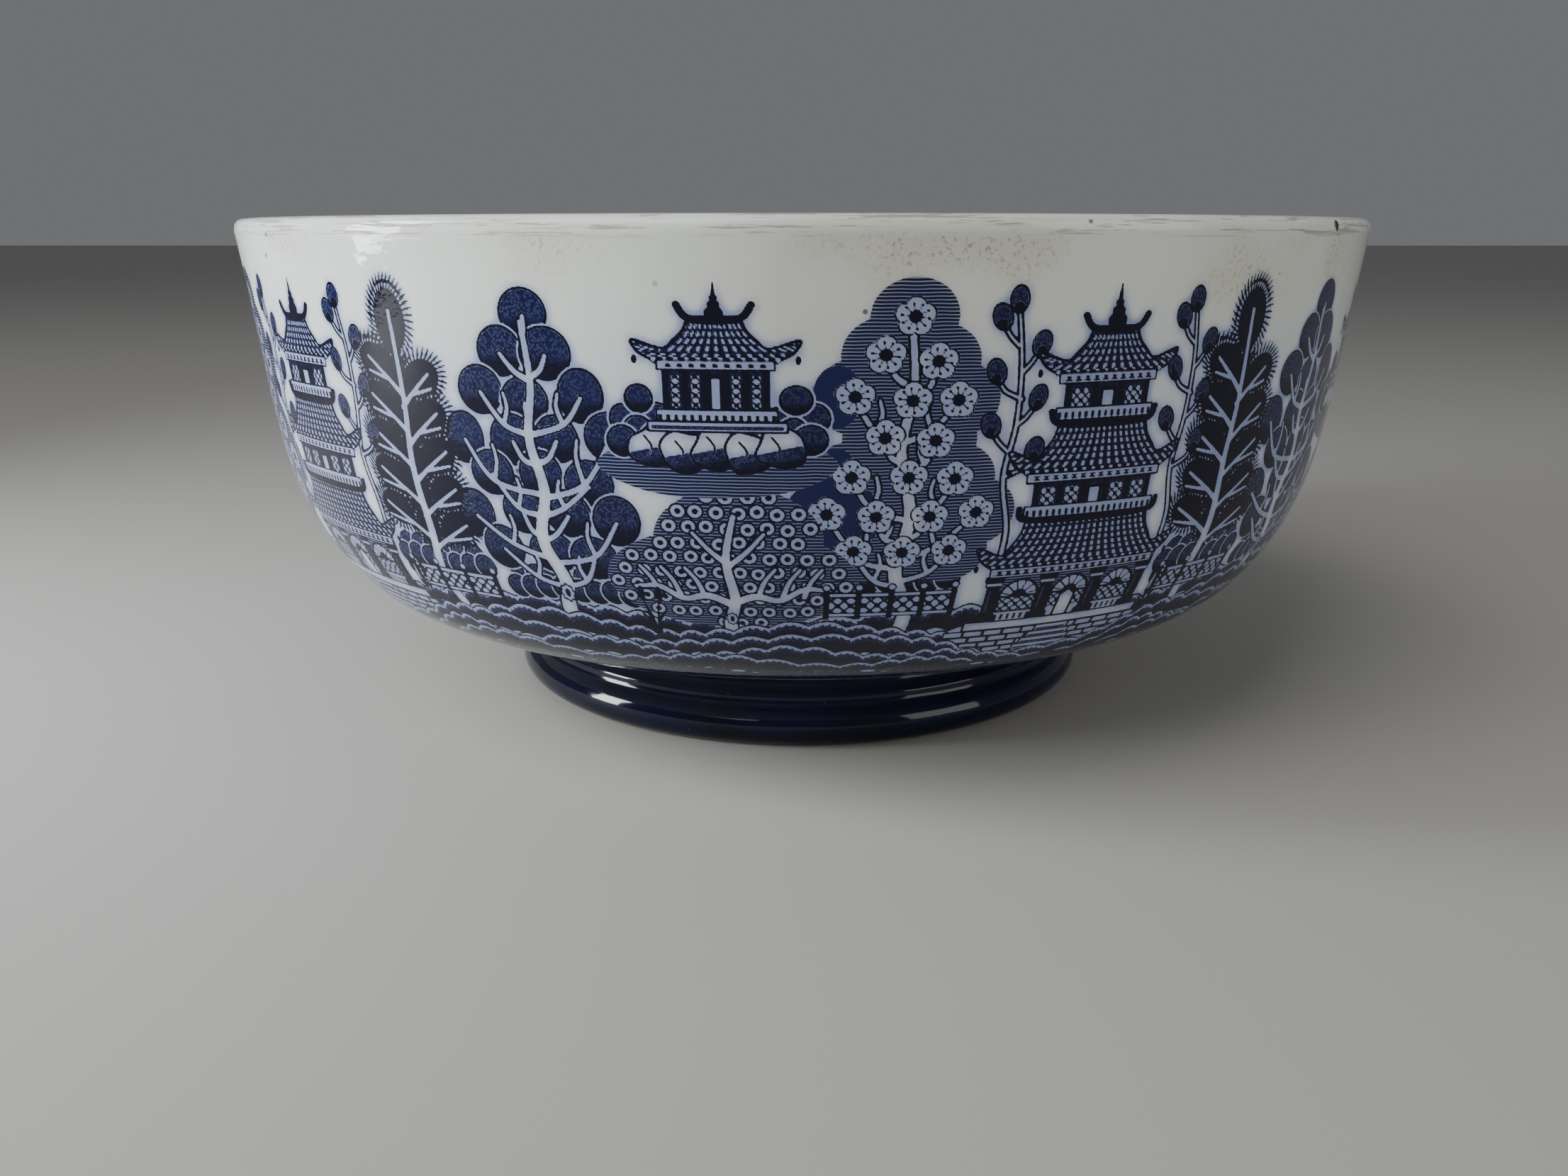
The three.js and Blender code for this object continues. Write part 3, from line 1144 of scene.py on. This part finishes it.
def spun_piece(name, line, columns, material, node, flip=False, ring=False):
    """A profile spun all the way round: an open one that ends on the axis, or a closed ring."""
    angles = np.arange(columns) * 360.0 / columns
    quads = grid_quads(len(line), columns, closed=True, ring=ring)
    if flip:
        quads = quads[:, ::-1]
    mesh = new_mesh(name, spun_points(line, angles).reshape(-1, 3), quads)
    if not ring:
        close_pole(mesh)
    add_piece(name, mesh, material, node)


def close_pole(mesh):
    """Closes the pinhole that a spun profile leaves on the axis."""
    shell = bmesh.new()
    shell.from_mesh(mesh)
    rim = [e for e in shell.edges if e.is_boundary and e.verts[0].co.xy.length < 0.1 * MM]
    filled = bmesh.ops.holes_fill(shell, edges=rim, sides=0)
    bmesh.ops.poke(shell, faces=filled["faces"])
    for face in shell.faces:
        face.smooth = True
    shell.to_mesh(mesh)
    shell.free()


def closed_end(line):
    """A profile that ends just off the axis, for a pole without collapsed faces."""
    line = line.copy()
    line[-1, 0] = 0.05
    return line


def build_shell(material):
    """The bowl above and below its printed band."""
    top = wall_at(np.linspace(BAND_TOP, 0.0, 12))
    upper = np.vstack([top, lip_line()[1:], closed_end(inner_line())])
    spun_piece("lip_and_inside", upper, PLAIN_COLUMNS, material, "bowl_body", flip=True)
    lower = wall_at(np.linspace(BAND_BOTTOM, WALL_ARC[-1], 60))
    under = bezier(SEAM_INNER, (44, 13.6), (22, UNDER_Z), (0.0, UNDER_Z), 30)
    seam = np.linspace(SEAM_OUTER, SEAM_INNER, 8)
    path = np.vstack([lower, seam[1:], closed_end(under)[1:]])
    spun_piece("bowl_underside", path, PLAIN_COLUMNS, material, "bowl_body")


def foot_line():
    """The foot's outline, a closed loop that starts at its top outer edge."""
    cove = bezier((66.2, 17.3), (64.9, 15.6), (65.0, 13.2), (66.7, 11.6), 12)
    arris = bezier((66.7, 11.6), (67.3, 11.2), (67.4, 10.9), (67.4, 10.3), 5)
    band = bezier((67.4, 10.3), (67.5, 9.2), (68.0, 8.6), (68.8, 8.25), 8)
    angles = np.radians(np.linspace(57, -72, 30))
    roll = np.stack([66.35 + 4.5 * np.cos(angles), 4.5 + 4.5 * np.sin(angles)], -1)
    rest = np.array([[67.3, 0.03], [66.8, 0.0], [65.2, 0.0], [63.6, 0.0], [63.1, 0.03]])
    inner = bezier((62.6, 0.15), (60.9, 1.0), (60.7, 2.6), (60.5, 4.5), 8)
    side = np.linspace((60.5, 4.5), (59.5, 16.0), 10)
    top = np.linspace((59.5, 16.05), (66.2, 17.35), 6)
    return np.vstack([cove, arris[1:], band[1:], roll[1:], rest, inner, side[1:], top[1:-1]])


def build_foot(material):
    """The turned ring under the bowl."""
    line = foot_line()
    spun_piece("foot_ring_turned", line, PLAIN_COLUMNS, material, "foot_ring", ring=True)


def build_seam(material):
    """The wiped bead of slip where the foot meets the bowl, outside and inside."""
    beads = (("slip_bead_outer", 66.5, 17.5, 0.5), ("slip_bead_inner", 59.4, 16.2, 0.45))
    turn = np.radians(np.arange(12) * 30.0)
    for name, r, z, radius in beads:
        line = np.stack([r + radius * np.cos(turn), z - radius * np.sin(turn)], -1)
        spun_piece(name, line, BEAD_COLUMNS, material, "luting_slip", ring=True)


# ---- stage ----


def build_floor():
    """A pale floor that reaches far behind the bowl."""
    mesh = bpy.data.meshes.new("floor")
    side = 12.0
    corners = [(-side, -side, 0), (side, -side, 0), (side, side, 0), (-side, side, 0)]
    mesh.from_pydata(corners, [], [(0, 1, 2, 3)])
    mesh.materials.append(floor_paint())
    floor = bpy.data.objects.new("floor", mesh)
    bpy.context.scene.collection.objects.link(floor)


def area_light(name, place, target, width, height, watts, colour, beam):
    """A soft rectangular light that faces its target, with a beam in degrees."""
    data = bpy.data.lights.new(name, "AREA")
    data.shape = "RECTANGLE"
    data.size = width
    data.size_y = height
    data.energy = watts
    data.color = colour
    data.spread = math.radians(beam)
    lamp = bpy.data.objects.new(name, data)
    bpy.context.scene.collection.objects.link(lamp)
    lamp.location = place
    lamp.visible_camera = False
    direction = np.array(target) - np.array(place)
    yaw = math.atan2(direction[1], direction[0])
    flat = math.hypot(direction[0], direction[1])
    pitch = math.atan2(direction[2], flat)
    lamp.rotation_euler = (math.pi / 2 + pitch, 0, yaw - math.pi / 2)


def build_lights():
    """A narrow window on the left, and wide soft lights above it and at the right."""
    lights = (  # name, place, target, width and height in metres, watts, colour, beam
        ("window", (-0.53, -0.14, 0.21), (0, 0, 0.09), 0.13, 0.40, 2.6, (0.93, 0.98, 1.0), 130.0),
        ("ceiling", (-0.7, -0.9, 1.3), (0, 0, 0.06), 1.1, 1.1, 15.0, (1.0, 0.99, 0.96), 180.0),
        ("fill", (1.3, -0.8, 0.6), (0, 0, 0.06), 0.9, 1.0, 5.6, (0.99, 0.98, 0.93), 180.0),
    )
    for light in lights:
        area_light(*light)
    world = bpy.data.worlds.new("studio")
    world.use_nodes = True
    background = world.node_tree.nodes["Background"]
    background.inputs["Color"].default_value = (0.80, 0.82, 0.86, 1)
    background.inputs["Strength"].default_value = 0.20
    bpy.context.scene.world = world


def build_camera():
    """A wide lens in front of the bowl, about level with its lip and looking down at it."""
    tilt_down = 15.28
    turn_left = 0.66
    data = bpy.data.cameras.new("camera")
    data.sensor_width = 36.0
    data.lens = 29.78
    data.clip_start = 0.01
    camera = bpy.data.objects.new("camera", data)
    camera.location = (0.0, -0.3264, 0.1056)
    camera.rotation_euler = (math.radians(90 - tilt_down), 0, math.radians(turn_left))
    bpy.context.scene.collection.objects.link(camera)
    bpy.context.scene.camera = camera


build_camera()
glaze = printed_glaze()
print_panels(glaze)
build_shell(glaze)
build_foot(cobalt_glaze())
build_seam(slip_clay())
build_floor()
build_lights()
